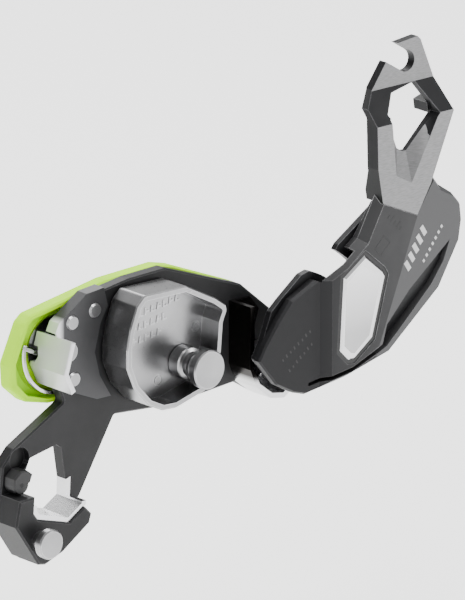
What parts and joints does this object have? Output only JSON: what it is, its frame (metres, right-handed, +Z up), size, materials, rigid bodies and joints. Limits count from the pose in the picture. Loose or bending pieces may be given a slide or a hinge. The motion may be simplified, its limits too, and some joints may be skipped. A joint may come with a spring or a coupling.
{
  "type": "belay device",
  "caption": "Assisted-braking belay device with a swing-open front plate, hollow eccentric cam on a capped axle, release lever and harness eye, stored open.",
  "frame": {"origin": "centre of the harness eye, level with the front face of the back plate", "axes": "+X from the harness eye along the body, +Z up as it hangs in use, the front faces -Y"},
  "size_m": [0.1794, 0.0325, 0.1418],
  "materials": {
    "dark_anodised": "satin",
    "grey_anodised": "satin",
    "steel": "polished",
    "bright_steel": "polished",
    "spring_steel": "drawn wire",
    "bronze": "plain",
    "lime_plastic": "satin",
    "grey_shell": "satin",
    "black_plastic": "matt"
  },
  "bodies": {
    "frame": {"back_plate": "dark_anodised", "eye_wear_liner": "bright_steel", "locking_stud": "steel", "rope_guide": "bright_steel", "guide_rivets": "steel", "pinch_anvil": "bright_steel", "anvil_rivets": "steel", "cam_axle": "steel", "cam_washer": "steel", "cam_spring": "spring_steel", "hinge_pin": "steel", "hinge_spacer": "steel", "hinge_clip": "spring_steel", "lever_axle": "steel", "lever_axle_clip": "spring_steel", "lever_spring": "spring_steel", "stop_rod": "bright_steel", "latch_pin": "dark_anodised", "latch_spring": "spring_steel"},
    "cam": {"cam": "steel", "cam_bush": "bronze"},
    "lever": {"lever_handle": "lime_plastic", "lever_ring": "bright_steel", "lever_hub": "steel", "lever_screws": "steel"},
    "latch": {"eye_latch": "black_plastic"},
    "front": {"front_plate": "grey_anodised", "front_cover": "grey_shell", "window_insert": "bright_steel", "window_frame": "black_plastic", "rim_pad": "black_plastic", "cover_rivets": "steel"}
  },
  "joints": [
    {"name": "front_plate_swing", "type": "hinge", "parent": "frame", "child": "front", "pos_m": [0.088, 0, 0.023], "axis": [0, -1, 0], "range_deg": [0, 142.5]},
    {"name": "cam_pinch", "type": "hinge", "parent": "frame", "child": "cam", "pos_m": [0.0535, 0, 0.0295], "axis": [0, -1, 0], "range_deg": [-28, 0], "stiffness_Nm_per_rad": 0.01, "springref_deg": 17.19},
    {"name": "lever_swing", "type": "hinge", "parent": "frame", "child": "lever", "pos_m": [0.0115, 0, 0.04], "axis": [0, -1, 0], "range_deg": [0, 110]},
    {"name": "latch_press", "type": "hinge", "parent": "frame", "child": "latch", "pos_m": [-0.0122, 0, 0.0032], "axis": [0, -1, 0], "range_deg": [-20, 0], "stiffness_Nm_per_rad": 0.0005, "springref_deg": 17.19}
  ]
}
